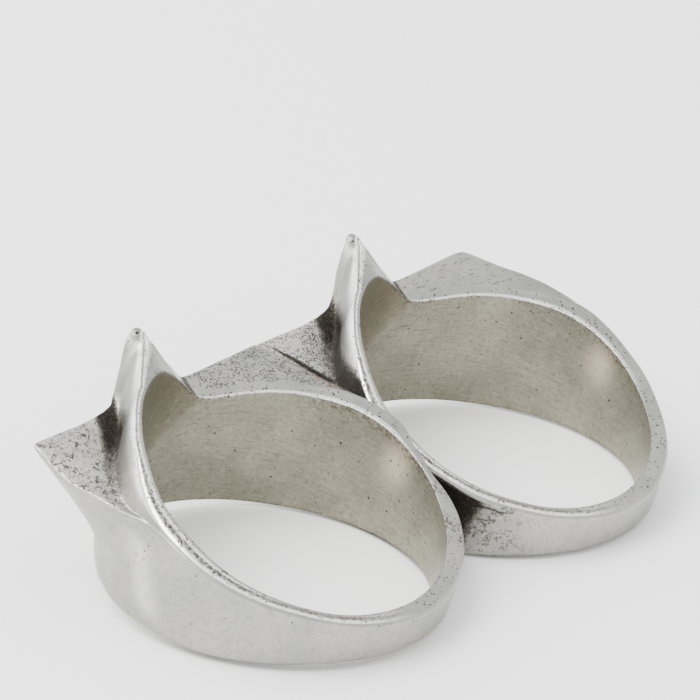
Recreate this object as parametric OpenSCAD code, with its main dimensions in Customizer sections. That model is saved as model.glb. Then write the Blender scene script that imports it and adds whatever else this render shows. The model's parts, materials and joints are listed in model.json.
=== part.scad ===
// Two-finger knuckle ring, one piece of antiqued silver.
// Each ring is a band that is low at the palm side and rises to the front,
// where it flares into a centre point, two side points and a keel below.
// The rings stand side by side along X, their fronts face +Y, and the
// piece lies on its lower edges, which tips the finger holes a little.

/* [Finger holes] */
// Diameter of each finger hole
bore_d = 19; // [18:0.25:20.5]
// Thickness of the band at the palm side
wall = 1.1; // [0.9:0.1:1.4]
// Angle between the axes of the two finger holes
splay = 0.7; // [0:0.1:2]
// How much lower the right ring sits
step = 0.15; // [0:0.05:0.4]

/* [Front] */
// Distance from the finger axis to the front edge of the side points
front_reach = 11.05; // [10.8:0.05:11.6]
// Distance from the finger axis to the tip of the centre point
point_reach = 12.95; // [12.4:0.05:13.6]
// Half the width of the centre point at its foot
point_half = 3.3; // [2.6:0.1:4]
// How far the flanks of the centre point swell past straight lines
point_swell = 0.18; // [0:0.02:0.4]
// Thickness of metal outside the hole at each side point's flank
flank = 0.85; // [0.7:0.05:1]
// How far the keel stands out from the hole at the lower edge
keel = 1; // [0.8:0.1:1.4]
// How much lower the left ring's arm lies along the crease between the rings
crease_drop = 0.48; // [0:0.04:0.6]

/* [Hidden] */
bore_r = bore_d / 2;
shank_r = bore_r + wall;
half_width = bore_r + flank;
overlap = 0.09;
pitch = 2 * (half_width - overlap);
notch_angle = atan2(point_half, front_reach);
corner_angle = atan2(half_width, front_reach);
corner_round = 1.3;
corner_sharpness = 90;
inside = 0.6;

// Upper surface, a row for each direction round the finger. Angle 0 is the
// front and positive turns towards +X. Heights are from the band's middle
// and offsets are from the hole's wall.
// angle, inner edge height, crest offset, crest height, foot offset,
// foot height, outer edge height
UPPER = [
    [-180, 1.30, 0.95, 1.35, 1.05, 1.20, 1.10],
    [-165, 1.32, 0.95, 1.45, 1.05, 1.32, 1.20],
    [-150, 1.42, 0.95, 1.60, 1.05, 1.48, 1.35],
    [-135, 1.70, 0.95, 1.88, 1.05, 1.75, 1.58],
    [-120, 2.05, 0.95, 2.12, 1.05, 1.97, 1.80],
    [-108, 2.45, 0.95, 2.38, 1.05, 2.22, 2.05],
    [ -98, 2.90, 0.94, 2.70, 1.04, 2.52, 2.34],
    [ -90, 3.32, 0.90, 3.05, 1.02, 2.84, 2.60],
    [ -82, 3.64, 0.86, 3.35, 1.00, 3.04, 2.74],
    [ -75, 4.02, 0.80, 3.72, 1.00, 2.98, 2.72],
    [ -68, 4.52, 0.72, 4.28, 1.05, 2.65, 2.50],
    [ -60, 5.10, 0.62, 4.94, 0.95, 2.42, 2.38],
    [ -52, 5.55, 0.54, 5.40, 0.74, 2.34, 2.15],
    [ -47, 5.82, 0.50, 5.72, 0.66, 2.32, 2.45],
    [ -43, 6.00, 0.47, 5.90, 0.61, 2.30, 2.85],
    [ -36, 6.15, 0.45, 6.02, 0.56, 2.30, 2.76],
    [ -28, 6.20, 0.46, 6.06, 0.62, 2.35, 2.64],
    [ -22, 6.20, 0.70, 6.12, 0.95, 2.55, 2.68],
    [ -17, 6.18, 1.00, 6.16, 1.45, 3.05, 2.95],
    [ -12, 6.04, 1.41, 6.20, 1.95, 4.75, 3.75],
    [  -8, 5.75, 1.83, 6.24, 2.35, 5.50, 4.60],
    [  -4, 5.32, 2.33, 6.28, 2.80, 6.08, 5.60],
    [   0, 4.88, 2.95, 6.26, 3.20, 6.22, 5.95],
    [   3, 4.48, 1.95, 4.98, 2.70, 5.18, 5.02],
    [   6, 4.05, 1.20, 4.22, 2.10, 4.36, 4.42],
    [   9, 3.60, 1.00, 3.70, 1.85, 3.88, 3.94],
    [  12, 3.16, 0.90, 3.20, 1.62, 3.34, 3.42],
    [  17, 2.62, 0.80, 2.54, 1.40, 2.56, 2.60],
    [  22, 2.52, 0.50, 2.60, 0.90, 2.48, 2.58],
    [  28, 2.58, 0.50, 2.80, 0.80, 2.64, 2.60],
    [  36, 2.84, 0.58, 3.04, 0.90, 2.92, 2.64],
    [  43, 3.08, 0.65, 3.28, 1.00, 3.12, 2.68],
    [  50, 3.27, 0.72, 3.47, 1.10, 3.34, 3.05],
    [  58, 3.42, 0.80, 3.72, 1.18, 3.62, 3.58],
    [  66, 3.56, 0.88, 3.95, 1.20, 3.90, 3.86],
    [  74, 3.65, 0.92, 4.02, 1.05, 3.98, 3.92],
    [  82, 3.60, 0.94, 3.92, 1.05, 3.88, 3.82],
    [  90, 3.45, 0.95, 3.66, 1.05, 3.60, 3.50],
    [  98, 3.20, 0.95, 3.28, 1.05, 3.20, 3.08],
    [ 110, 2.75, 0.95, 2.76, 1.05, 2.68, 2.56],
    [ 123, 2.22, 0.95, 2.20, 1.05, 2.08, 1.95],
    [ 138, 1.85, 0.95, 1.82, 1.05, 1.70, 1.55],
    [ 150, 1.55, 0.95, 1.58, 1.05, 1.46, 1.34],
    [ 165, 1.38, 0.95, 1.42, 1.05, 1.30, 1.18],
    [ 180, 1.30, 0.95, 1.35, 1.05, 1.20, 1.10],
];

// Lower edge. angle, inner edge height, outer edge offset, outer edge
// height, how much of the flare's curve the outer wall takes
LOWER = [
    [-180, -1.15, wall, -1.00, 0.0],
    [-160, -1.25, wall, -1.12, 0.0],
    [-142, -1.60, wall, -1.47, 0.0],
    [-124, -2.20, wall, -2.10, 0.0],
    [-105, -2.85, wall, -2.76, 0.2],
    [ -90, -3.10, wall, -3.00, 0.5],
    [ -75, -3.42, 1.00, -3.36, 0.8],
    [ -60, -3.58, 0.75, -3.46, 1.0],
    [ -45, -3.80, 0.42, -3.62, 1.0],
    [ -30, -4.20, 0.35, -4.00, 1.0],
    [ -17, -4.58, 0.50, -4.46, 1.0],
    [  -8, -4.82, 0.75, -4.86, 1.0],
    [   0, -4.95, keel, -5.10, 1.0],
    [   8, -5.00, 0.75, -5.10, 1.0],
    [  17, -4.95, 0.50, -4.95, 1.0],
    [  30, -4.90, 0.42, -4.80, 1.0],
    [  45, -4.74, 0.50, -4.60, 1.0],
    [  60, -4.44, 0.75, -4.30, 1.0],
    [  75, -3.95, 1.00, -3.80, 0.8],
    [  90, -3.40, wall, -3.26, 0.5],
    [ 105, -2.85, wall, -2.74, 0.2],
    [ 130, -1.97, wall, -1.86, 0.0],
    [ 150, -1.48, wall, -1.36, 0.0],
    [ 165, -1.25, wall, -1.13, 0.0],
    [ 180, -1.15, wall, -1.00, 0.0],
];

// The outer wall's flare, from its top down.
// share of the wall's height, share of the way out to the upper edge
FLARE = [
    [0.94, 0.91],
    [0.84, 0.79],
    [0.74, 0.67],
    [0.64, 0.53],
    [0.50, 0.32],
    [0.32, 0.10],
    [0.15, 0.02],
];

// The left ring's arm along the crease. angle, share of the drop
CREASE = [
    [47, 0],
    [51, 0.25],
    [56, 0.75],
    [60, 0.95],
    [65, 1],
    [70, 0.8],
    [77, 0.62],
    [86, 0.2],
    [94, 0],
];

function column(table, angle, i) = lookup(angle, [for (row = table) [row[0], row[i]]]);
function upper(angle, i) = column(UPPER, angle, i);
function lower(angle, i) = column(LOWER, angle, i);
function drop(side, angle) = (1 - side) * crease_drop * lookup(angle, CREASE);
function soft_min(a, b) = pow(pow(a, -corner_sharpness) + pow(b, -corner_sharpness),
                              -1 / corner_sharpness);

// Distance from the finger axis to the centre point's outline in plan
function point_line(angle) =
    let (slope = (point_reach - front_reach) / point_half)
    point_reach / (cos(angle) + slope * sin(angle))
        + point_swell * sin(180 * angle / notch_angle);

// Distance from the finger axis to the whole outline in plan
function outline(angle) =
    let (a = abs(angle))
    a < notch_angle ? point_line(a)
    : a > 89 ? shank_r
    : max(shank_r, soft_min(front_reach / cos(a), half_width / sin(a)));

// One closed section through the left (side 0) or right (side 1) ring's band,
// as [radius, height] points from the upper inner edge outwards, down the
// flared wall and back to the hole
function section(side, angle) =
    let (out_r = outline(angle),
         foot_z = upper(angle, 5) - 0.4 * drop(side, angle),
         out_z = upper(angle, 6) - drop(side, angle),
         low_r = bore_r + lower(angle, 2),
         low_z = lower(angle, 3),
         curve = lower(angle, 4))
    concat(
        [[bore_r - inside, upper(angle, 1)],
         [bore_r + 0.1, upper(angle, 1)],
         [bore_r + upper(angle, 2), upper(angle, 3)],
         [bore_r + upper(angle, 4), foot_z],
         [out_r, out_z]],
        [for (f = FLARE)
            [low_r + (out_r - low_r) * (f[0] + (f[1] - f[0]) * curve),
             low_z + (out_z - low_z) * f[0]]],
        [[low_r, low_z],
         [bore_r + 0.1, lower(angle, 1)],
         [bore_r - inside, lower(angle, 1)]]);

function span(from, to, steps) = [for (i = [0 : steps - 1]) from + (to - from) * i / steps];
RIGHT_ANGLES = concat(
    span(0, notch_angle, 6),
    span(notch_angle, corner_angle - corner_round, 7),
    [corner_angle - corner_round, corner_angle],
    span(corner_angle + corner_round, 84, 11),
    span(84, 180, 14));
LEFT_ANGLES = [for (i = [len(RIGHT_ANGLES) - 1 : -1 : 1]) -RIGHT_ANGLES[i]];
ANGLES = concat([-180], LEFT_ANGLES, RIGHT_ANGLES);
section_points = len(section(0, 0));

// The lying pose: of the lines that touch the lower edge in side view, the
// piece rests on the one that passes under its weight
balance = 3;
LOW_POINTS = [for (a = ANGLES) [(bore_r + 0.1) * cos(a), lower(a, 1)]];
function height_under(p, q) = p[1] + (q[1] - p[1]) * (p[0] - balance) / (p[0] - q[0]);
CHORDS = [for (p = LOW_POINTS) if (p[0] > balance)
    for (q = LOW_POINTS) if (q[0] < balance) [height_under(p, q), p, q]];
lowest = min([for (c = CHORDS) c[0]]);
rest_line = [for (c = CHORDS) if (c[0] == lowest) c][0];
rest_tilt = atan2(rest_line[2][1] - rest_line[1][1], rest_line[1][0] - rest_line[2][0]);

// Where a section's point comes to lie before the piece is moved to the origin
function lying(side, angle, p) =
    let (r = max(p[0], bore_r),
         turn = side * splay,
         y = r * cos(angle),
         x = r * sin(angle) * cos(turn) - p[1] * sin(turn),
         z = r * sin(angle) * sin(turn) + p[1] * cos(turn) - side * step)
    [x + (side - 0.5) * pitch,
     y * cos(rest_tilt) - z * sin(rest_tilt),
     y * sin(rest_tilt) + z * cos(rest_tilt)];
CORNERS = [for (side = [0, 1]) for (a = ANGLES) for (p = section(side, a)) lying(side, a, p)];
function low(i) = min([for (c = CORNERS) c[i]]);
function high(i) = max([for (c = CORNERS) c[i]]);
origin = [(low(0) + high(0)) / 2, (low(1) + high(1)) / 2, low(2)];

// A closed loop of sections round the finger
module ring_body(side) {
    n = len(ANGLES);
    m = section_points;
    points = [for (a = ANGLES) for (p = section(side, a)) [p[0] * sin(a), p[0] * cos(a), p[1]]];
    faces = [for (i = [0 : n - 1]) for (j = [0 : m - 1])
        let (i2 = (i + 1) % n, j2 = (j + 1) % m)
        each [[i * m + j, i * m + j2, i2 * m + j2],
              [i * m + j, i2 * m + j2, i2 * m + j]]];
    polyhedron(points = points, faces = faces, convexity = 8);
}

module finger_hole() {
    cylinder(r = bore_r, h = 40, center = true, $fn = 128);
}

module at_finger(side) {
    translate([(side - 0.5) * pitch, 0, -side * step])
    rotate([0, -side * splay, 0])
    children();
}

module knuckle_ring() {
    color([0.77, 0.76, 0.73])
    translate(-origin) rotate([rest_tilt, 0, 0])
    difference() {
        for (side = [0, 1]) at_finger(side) ring_body(side);
        for (side = [0, 1]) at_finger(side) finger_hole();
    }
}

knuckle_ring();
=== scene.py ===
# %% [markdown]
# # A knuckle ring of antiqued silver, dressed for a studio picture
#
# The real thing is one piece of silver: two finger rings joined side by side.
# Each ring is low where it crosses the palm and rises to the front, where it
# flares into a tall centre point between two side points, like a cat's head.
# A maker would carve it in wax, cast it, darken it all over with sulphur and
# then rub the darkening off everything that a polishing wheel can reach.
#
# The construction model already has the shape in a few thousand flat facets.
# This lesson lofts the same shape again with many more sections, so that
# light can run along its edges, and then gives it the finish.

# %% Load the construction model
import json
import math

import bmesh
import bpy
import numpy as np
from mathutils import Matrix, Vector, noise

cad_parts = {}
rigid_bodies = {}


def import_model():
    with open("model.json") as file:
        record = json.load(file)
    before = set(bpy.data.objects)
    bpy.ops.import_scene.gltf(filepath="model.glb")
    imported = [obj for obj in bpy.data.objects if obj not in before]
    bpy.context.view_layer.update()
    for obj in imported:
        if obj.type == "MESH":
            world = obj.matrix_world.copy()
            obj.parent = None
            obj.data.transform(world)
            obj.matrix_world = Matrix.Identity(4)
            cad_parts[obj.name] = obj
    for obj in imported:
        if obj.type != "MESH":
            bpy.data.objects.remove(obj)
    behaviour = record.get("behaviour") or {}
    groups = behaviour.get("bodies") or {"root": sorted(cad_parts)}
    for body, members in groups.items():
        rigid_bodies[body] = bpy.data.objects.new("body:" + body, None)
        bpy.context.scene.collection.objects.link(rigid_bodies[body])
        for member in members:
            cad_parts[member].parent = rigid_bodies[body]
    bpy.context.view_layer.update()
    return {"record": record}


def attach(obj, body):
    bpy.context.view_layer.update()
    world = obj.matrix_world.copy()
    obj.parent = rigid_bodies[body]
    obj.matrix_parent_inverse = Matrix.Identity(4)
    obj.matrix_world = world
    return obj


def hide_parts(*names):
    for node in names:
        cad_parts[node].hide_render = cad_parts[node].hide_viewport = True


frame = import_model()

MM = 0.001


# %% [markdown]
# ## Where the rings stand
#
# Each finger hole is recorded with its centre and its axis. From those two
# come the directions that the sections need: `along` the row of rings, `out`
# towards the front and `up` the finger. The recorded centre lies a little
# above the band's middle height, from which all heights below are counted.

# %% The two finger holes
LEFT, RIGHT = 0, 1
HOLE_R = 9.5
CENTRE_HEIGHT = 0.6
holes = {mount["name"]: mount for mount in frame["record"]["mounts"]}
left_up = Vector(holes["left_finger_hole"]["axis"]).normalized()
out = left_up.cross(Vector((1, 0, 0))).normalized()


def ring_place(name):
    """The matrix from a ring's own millimetres to the scene's metres."""
    up = Vector(holes[name]["axis"]).normalized()
    along = out.cross(up).normalized()
    start = Vector(holes[name]["pos_m"]) - up * CENTRE_HEIGHT * MM
    turn = Matrix((along, out, up)).transposed().to_4x4()
    return Matrix.Translation(start) @ turn @ Matrix.Scale(MM, 4)


PLACES = [ring_place("left_finger_hole"), ring_place("right_finger_hole")]
LEAN = math.atan2(-left_up.y, left_up.z)
print("the left finger hole leans back", round(math.degrees(LEAN), 2), "degrees")

# %% [markdown]
# ## The shape, section by section
#
# Walk once round a finger and cut the band at every step. Each cut has an
# inner edge, a crest on the rim, a foot where the rim meets the side arms, an
# outer edge, and a wall that curves in to the lower edge. The two tables hold
# their heights and offsets in mm for a few directions, and everything between
# is found by a smooth curve. 0 degrees is the front, and positive angles turn
# towards the row's right end. Offsets count outwards from the hole's wall.

# %% The tables
UPPER_NAMES = ("inner_z", "crest_off", "crest_z", "foot_off", "foot_z", "outer_z")
UPPER = [
    (-180, 1.30, 0.95, 1.35, 1.05, 1.20, 1.10),
    (-165, 1.32, 0.95, 1.45, 1.05, 1.32, 1.20),
    (-150, 1.42, 0.95, 1.60, 1.05, 1.48, 1.35),
    (-135, 1.70, 0.95, 1.88, 1.05, 1.75, 1.58),
    (-120, 2.05, 0.95, 2.12, 1.05, 1.97, 1.80),
    (-108, 2.45, 0.95, 2.38, 1.05, 2.22, 2.05),
    (-98, 2.90, 0.94, 2.70, 1.04, 2.52, 2.34),
    (-90, 3.32, 0.90, 3.05, 1.02, 2.84, 2.60),
    (-82, 3.64, 0.86, 3.35, 1.00, 3.04, 2.74),
    (-75, 4.02, 0.80, 3.72, 1.00, 2.98, 2.72),
    (-68, 4.52, 0.72, 4.28, 1.05, 2.65, 2.50),
    (-60, 5.10, 0.62, 4.94, 0.95, 2.42, 2.38),
    (-52, 5.55, 0.54, 5.40, 0.74, 2.34, 2.15),
    (-47, 5.82, 0.50, 5.72, 0.66, 2.32, 2.45),
    (-43, 6.00, 0.47, 5.90, 0.61, 2.30, 2.85),
    (-36, 6.15, 0.45, 6.02, 0.56, 2.30, 2.76),
    (-28, 6.20, 0.46, 6.06, 0.62, 2.35, 2.64),
    (-22, 6.20, 0.70, 6.12, 0.95, 2.55, 2.68),
    (-17, 6.18, 1.00, 6.16, 1.45, 3.05, 2.95),
    (-12, 6.04, 1.41, 6.20, 1.95, 4.75, 3.75),
    (-8, 5.75, 1.83, 6.24, 2.35, 5.50, 4.60),
    (-4, 5.32, 2.33, 6.28, 2.80, 6.08, 5.60),
    (0, 4.88, 2.95, 6.26, 3.20, 6.22, 5.95),
    (3, 4.48, 1.95, 4.98, 2.70, 5.18, 5.02),
    (6, 4.05, 1.20, 4.22, 2.10, 4.36, 4.42),
    (9, 3.60, 1.00, 3.70, 1.85, 3.88, 3.94),
    (12, 3.16, 0.90, 3.20, 1.62, 3.34, 3.42),
    (17, 2.62, 0.80, 2.54, 1.40, 2.56, 2.60),
    (22, 2.52, 0.50, 2.60, 0.90, 2.48, 2.58),
    (28, 2.58, 0.50, 2.80, 0.80, 2.64, 2.60),
    (36, 2.84, 0.58, 3.04, 0.90, 2.92, 2.64),
    (43, 3.08, 0.65, 3.28, 1.00, 3.12, 2.68),
    (50, 3.27, 0.72, 3.47, 1.10, 3.34, 3.05),
    (58, 3.42, 0.80, 3.72, 1.18, 3.62, 3.58),
    (66, 3.56, 0.88, 3.95, 1.20, 3.90, 3.86),
    (74, 3.65, 0.92, 4.02, 1.05, 3.98, 3.92),
    (82, 3.60, 0.94, 3.92, 1.05, 3.88, 3.82),
    (90, 3.45, 0.95, 3.66, 1.05, 3.60, 3.50),
    (98, 3.20, 0.95, 3.28, 1.05, 3.20, 3.08),
    (110, 2.75, 0.95, 2.76, 1.05, 2.68, 2.56),
    (123, 2.22, 0.95, 2.20, 1.05, 2.08, 1.95),
    (138, 1.85, 0.95, 1.82, 1.05, 1.70, 1.55),
    (150, 1.55, 0.95, 1.58, 1.05, 1.46, 1.34),
    (165, 1.38, 0.95, 1.42, 1.05, 1.30, 1.18),
    (180, 1.30, 0.95, 1.35, 1.05, 1.20, 1.10),
]
LOWER_NAMES = ("inner_low", "low_off", "low_z", "curve")
LOWER = [
    (-180, -1.15, 1.10, -1.00, 0.0),
    (-160, -1.25, 1.10, -1.12, 0.0),
    (-142, -1.60, 1.10, -1.47, 0.0),
    (-124, -2.20, 1.10, -2.10, 0.0),
    (-105, -2.85, 1.10, -2.76, 0.2),
    (-90, -3.10, 1.10, -3.00, 0.5),
    (-75, -3.42, 1.00, -3.36, 0.8),
    (-60, -3.58, 0.75, -3.46, 1.0),
    (-45, -3.80, 0.42, -3.62, 1.0),
    (-30, -4.20, 0.35, -4.00, 1.0),
    (-17, -4.58, 0.50, -4.46, 1.0),
    (-8, -4.82, 0.75, -4.86, 1.0),
    (0, -4.95, 1.00, -5.10, 1.0),
    (8, -5.00, 0.75, -5.10, 1.0),
    (17, -4.95, 0.50, -4.95, 1.0),
    (30, -4.90, 0.42, -4.80, 1.0),
    (45, -4.74, 0.50, -4.60, 1.0),
    (60, -4.44, 0.75, -4.30, 1.0),
    (75, -3.95, 1.00, -3.80, 0.8),
    (90, -3.40, 1.10, -3.26, 0.5),
    (105, -2.85, 1.10, -2.74, 0.2),
    (130, -1.97, 1.10, -1.86, 0.0),
    (150, -1.48, 1.10, -1.36, 0.0),
    (165, -1.25, 1.10, -1.13, 0.0),
    (180, -1.15, 1.10, -1.00, 0.0),
]
# The wall's flare: share of its height, share of the way out to the edge
FLARE = [(0.94, 0.91), (0.84, 0.79), (0.74, 0.67), (0.64, 0.53),
         (0.50, 0.32), (0.32, 0.10), (0.15, 0.02)]
# The left ring's arm sinks along the crease between the rings
CREASE_DROP = [(-180, 0), (47, 0), (51, 0.12), (56, 0.36), (60, 0.456), (65, 0.48),
               (70, 0.384), (77, 0.298), (86, 0.096), (94, 0), (180, 0)]
# Behind the joint both rims are thinned towards each other, (degrees, mm), and
# the left one dips where the right one passes it
THINNED = [(-180, 0), (86, 0), (92, 0.12), (97, 0.32), (108, 0.34), (118, 0.12), (128, 0), (180, 0)]
DIPPED = [(-180, 0), (88, 0), (96, 0.22), (106, 0.3), (114, 0.15), (124, 0), (180, 0)]
print(len(UPPER), "upper rows and", len(LOWER), "lower rows")

# %% [markdown]
# ### A curve that doesn't overshoot
#
# An ordinary smooth curve swings past a sudden change, which would dent the
# metal beside every point. A monotone curve leans to the gentler of the two
# slopes at each row, and is flat where one rises and the other falls, so a
# rise stays a rise.


# %% Reading the tables at any angle
TINY = 1e-12  # added so that nothing is divided by zero


def smooth_column(rows, column, at):
    """A column of a table at any first-column values, by a monotone cubic curve."""
    x = np.array([row[0] for row in rows], float)
    y = np.array([row[column] for row in rows], float)
    step = np.diff(x)
    slope = np.diff(y) / step
    both = slope[:-1] * slope[1:]
    blend = np.where(both > 0, 2 * both / (slope[:-1] + slope[1:] + TINY), 0)
    tangent = np.concatenate([slope[:1], blend, slope[-1:]])
    i = np.clip(np.searchsorted(x, at, side="right") - 1, 0, len(step) - 1)
    h = step[i]
    t = (at - x[i]) / h
    return ((2 * t**3 - 3 * t**2 + 1) * y[i] + (t**3 - 2 * t**2 + t) * h * tangent[i]
            + (3 * t**2 - 2 * t**3) * y[i + 1] + (t**3 - t**2) * h * tangent[i + 1])


def smoothstep(low, high, value):
    """0 up to low and 1 from high on, with soft ends. Low may be the larger one."""
    t = np.clip((value - low) / (high - low), 0, 1)
    return t * t * (3 - 2 * t)


print("1.1 degrees from the front, the rim's foot is at",
      round(float(smooth_column(UPPER, UPPER_NAMES.index("foot_z") + 1, 1.1)), 2), "mm")

# %% [markdown]
# ### The plan
#
# Seen along the finger, the front is a straight line with a corner at each
# end and the centre point in its middle, and the rest is a round shank. One
# formula rounds the corners: straight line and side are joined with a high
# power, which is sharp without being an edge. The sections stand closest
# beside the centre point, where the outline changes most.


# %% The outline in plan
# In mm from the finger's axis: how far out the centre point and the front go,
# half the width of each, and the round shank's outside
POINT_REACH, POINT_HALF = 12.95, 3.3
FRONT_REACH, HALF_WIDTH = 11.05, 10.35
SHANK_R = 10.6
SHANK_FROM = 89  # degrees from the front
# How far each ring's centre point swells beyond straight sides: (degrees, mm)
POINT_SWELL = [[(0, 0), (2, 0.22), (4, 0.38), (8, 0.24), (12, 0.12), (17, 0)],
               [(0, 0), (2, 0.12), (4, 0.18), (8, 0.16), (12, 0), (14, -0.06), (17, 0)]]
# A corner's power: the higher it is, the sharper the corner
SHARP, ROUNDER = 90.0, 38.0
LEAST = 0.01  # of a sine or cosine, where a side runs off to infinity
# Where the centre point meets the front, and where the front's corner is
NOTCH = math.degrees(math.atan2(POINT_HALF, FRONT_REACH))
CORNER = math.degrees(math.atan2(HALF_WIDTH, FRONT_REACH))


def outline(side, angle):
    """Distance from the finger's axis to the edge of the plan."""
    turned = np.abs(angle)
    cosine, sine = np.cos(np.radians(turned)), np.sin(np.radians(turned))
    slope = (POINT_REACH - FRONT_REACH) / POINT_HALF
    swell = smooth_column(POINT_SWELL[side], 1, np.minimum(turned, POINT_SWELL[side][-1][0]))
    point = POINT_REACH / (cosine + slope * sine) + swell
    straight = FRONT_REACH / np.maximum(cosine, LEAST)
    beside = HALF_WIDTH / np.maximum(sine, LEAST)
    # The far right corner is rounder than the others
    sharp = np.where((side == RIGHT) & (angle > 0), ROUNDER, SHARP)
    arm = np.maximum((straight**-sharp + beside**-sharp) ** (-1 / sharp), SHANK_R)
    return np.where(turned < NOTCH, point, np.where(turned > SHANK_FROM, SHANK_R, arm))


# From each of these directions to the next, so many sections: most beside the point
STEPS = [(0, 14), (4, 26), (NOTCH, 58), (CORNER, 58), (84, 62), (180, 0)]
half = np.concatenate([np.linspace(start, end, steps, endpoint=False)
                       for (start, steps), (end, _) in zip(STEPS, STEPS[1:])])
ANGLES = np.concatenate([[-180.0], -half[:0:-1], half])
print(len(ANGLES), "sections round each finger")

# %% [markdown]
# ### One section
#
# Each stretch of a section is cut into steps that get shorter towards its
# ends. Edges are where a stretch ends, so they get the most points.
#
# The rim of the tall left side is a double one: the crest and a second line
# beside it, with a fine groove between them. Up the back of the point the two
# lines run a quarter of a millimetre apart, and lower down they spread until
# the second one meets the finger hole.


# %% Stretches between the named points of a section
def stretch(a, b, steps, ends=1.0):
    """Points from a to b (radius and height for every angle), closer at the ends."""
    even = np.linspace(0, 1, steps, endpoint=False)
    t = (1 - ends) * even + ends * (1 - np.cos(np.pi * even)) / 2
    return a[:, None, :] * (1 - t)[None, :, None] + b[:, None, :] * t[None, :, None]


def pair(radius, height):
    """Radius and height side by side, a row for each angle."""
    return np.stack([radius, height], 1)


# The stretches in their order: up the hole, over the rim, down its flank, out
# along the side arm, down the wall and back along the lower edge
HOLE, RIM, FLANK, ARM, WALL, BASE = range(6)
# Into how many steps each is cut. The rim's second line and groove have their own
HOLE_STEPS, RIM_STEPS, LINE_STEPS, FLANK_STEPS = 22, 9, 4, 8
ARM_STEPS, WALL_STEPS, BASE_STEPS = 13, 3, 4
example = stretch(pair([0], [0]), pair([1], [0]), 4)
print("a stretch of 4 steps has its points at", np.round(example[0, :, 0], 2))


# %% Building the sections
FOOT_SINKS = 0.4  # of what the edge beside it sinks
# The rim's second line: mm from the crest, and where the two lines spread
# apart, its share of the rim's width
LINE_GAP, LINE_SHARE = 0.27, 0.72
# How deep the groove between them is in mm, left of the point and right of it
GROOVE_DEPTH, RIGHT_GROOVE_DEPTH = 0.085, -0.03


def sections(side):
    """All sections of the left or right ring, and the stretch that each point is in."""
    up = {name: smooth_column(UPPER, i + 1, ANGLES) for i, name in enumerate(UPPER_NAMES)}
    down = {name: smooth_column(LOWER, i + 1, ANGLES) for i, name in enumerate(LOWER_NAMES)}
    drop = (1 - side) * smooth_column(CREASE_DROP, 1, ANGLES)
    thin = smooth_column(THINNED, 1, ANGLES if side == LEFT else -ANGLES)
    dip = (1 - side) * smooth_column(DIPPED, 1, ANGLES)
    hole = np.full(len(ANGLES), HOLE_R)
    inner_low = pair(hole, down["inner_low"])
    inner_top = pair(hole, up["inner_z"])
    crest = pair(HOLE_R + up["crest_off"] - thin, up["crest_z"] - dip)
    foot = pair(HOLE_R + up["foot_off"] - thin, up["foot_z"] - FOOT_SINKS * drop - dip)
    edge = pair(outline(side, ANGLES) - thin, up["outer_z"] - drop - dip)
    low = pair(HOLE_R + down["low_off"], down["low_z"])
    wall = [edge]
    for up_share, out_share in FLARE:
        share = up_share + (out_share - up_share) * down["curve"]
        wall.append(pair(low[:, 0] + (edge[:, 0] - low[:, 0]) * share,
                         low[:, 1] + (edge[:, 1] - low[:, 1]) * up_share))
    wall.append(low)

    # The double rim. The pairs in smoothstep are degrees round the finger
    across_rim = inner_top - crest
    width = np.linalg.norm(across_rim, axis=1)
    beside = np.stack([across_rim[:, 1], -across_rim[:, 0]], 1) / width[:, None]
    apart = np.maximum(smoothstep(-44, -66, ANGLES), smoothstep(2, 8, ANGLES))
    second = LINE_GAP + (LINE_SHARE * width - LINE_GAP) * apart
    depth = GROOVE_DEPTH * smoothstep(1, -4, ANGLES) * smoothstep(-179, -150, ANGLES)
    depth += RIGHT_GROOVE_DEPTH * smoothstep(12, 24, ANGLES) * smoothstep(110, 80, ANGLES)
    second_line = crest + across_rim * (second / width)[:, None]
    groove = crest + across_rim * (second / width / 2)[:, None] + beside * depth[:, None]

    pieces = [(HOLE, stretch(inner_low, inner_top, HOLE_STEPS)),
              (RIM, stretch(inner_top, second_line, RIM_STEPS)),
              (RIM, stretch(second_line, groove, LINE_STEPS, 0.4)),
              (RIM, stretch(groove, crest, LINE_STEPS, 0.4)),
              (FLANK, stretch(crest, foot, FLANK_STEPS, 0.8)),
              (ARM, stretch(foot, edge, ARM_STEPS, 0.6))]
    pieces += [(WALL, stretch(a, b, WALL_STEPS, 0.0)) for a, b in zip(wall, wall[1:])]
    pieces.append((BASE, stretch(low, inner_low, BASE_STEPS)))
    region = [np.full(points.shape[1], part) for part, points in pieces]
    return np.concatenate([points for _, points in pieces], axis=1), np.concatenate(region)


REGION = sections(LEFT)[1]
PLACE_IN_SECTION = np.arange(len(REGION))
print("each section has", len(REGION), "points")

# %% [markdown]
# ### Rounding the edges
#
# Polishing leaves no edge sharp. A bevel would give every edge one even width,
# which looks machined. Instead each point is drawn part of the way to the
# middle of its neighbours, a few times over, and the outer edge of the arms
# gets the most of it. This is done on the sections, before they are a mesh,
# because there the rounding can follow the section's own stretches.


# %% Softer edges
def ease(values, axis, times, pull=0.5):
    """Rounds edges: each point moves part of the way to the middle of its neighbours."""
    for _ in range(times):
        middle = (np.roll(values, 1, axis) + np.roll(values, -1, axis)) / 2
        values = values + pull * (middle - values)
    return values


ROUNDINGS, EDGE_ROUNDINGS, EDGE_PULL = 4, 8, 0.6
outer_edge = PLACE_IN_SECTION[REGION == ARM][-1] + 1
# 1 beside the outer edge, falling to 0 some points of the section away from it
near_edge = smoothstep(7, 3, np.abs(PLACE_IN_SECTION - outer_edge))


def softened(side):
    """A ring's sections with rounded edges."""
    section = ease(sections(side)[0], 1, ROUNDINGS)
    return ease(section, 1, EDGE_ROUNDINGS, EDGE_PULL * near_edge[None, :, None])


move = np.linalg.norm(softened(LEFT) - sections(LEFT)[0], axis=2)
print("rounding moves a point of the left ring by up to", round(float(move.max()), 2), "mm")

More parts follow.
